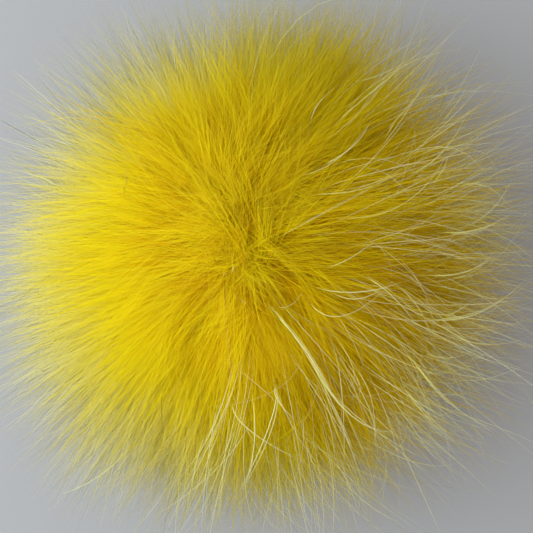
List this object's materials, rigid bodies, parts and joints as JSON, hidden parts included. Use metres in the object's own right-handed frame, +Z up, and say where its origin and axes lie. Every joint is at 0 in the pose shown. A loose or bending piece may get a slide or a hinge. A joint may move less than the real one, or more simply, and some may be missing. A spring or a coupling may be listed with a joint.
{
  "type": "fur pompom",
  "caption": "Round long-haired fur pompom with tapered locks that spread from a crown, resting on a small flat spot.",
  "frame": {"origin": "middle of the flat spot on the underside, on the surface that the pompom rests on", "axes": "+Z up from the surface; +X towards the side with the longest hair; +Y towards the side on which the crown lies"},
  "size_m": [0.1548, 0.1524, 0.1076],
  "materials": {
    "dyed_fur": "long soft dyed fur, dense matt underfur and fine glossy guard hairs with paler tips"
  },
  "bodies": {
    "root": {"pompom": "dyed_fur"}
  },
  "joints": []
}
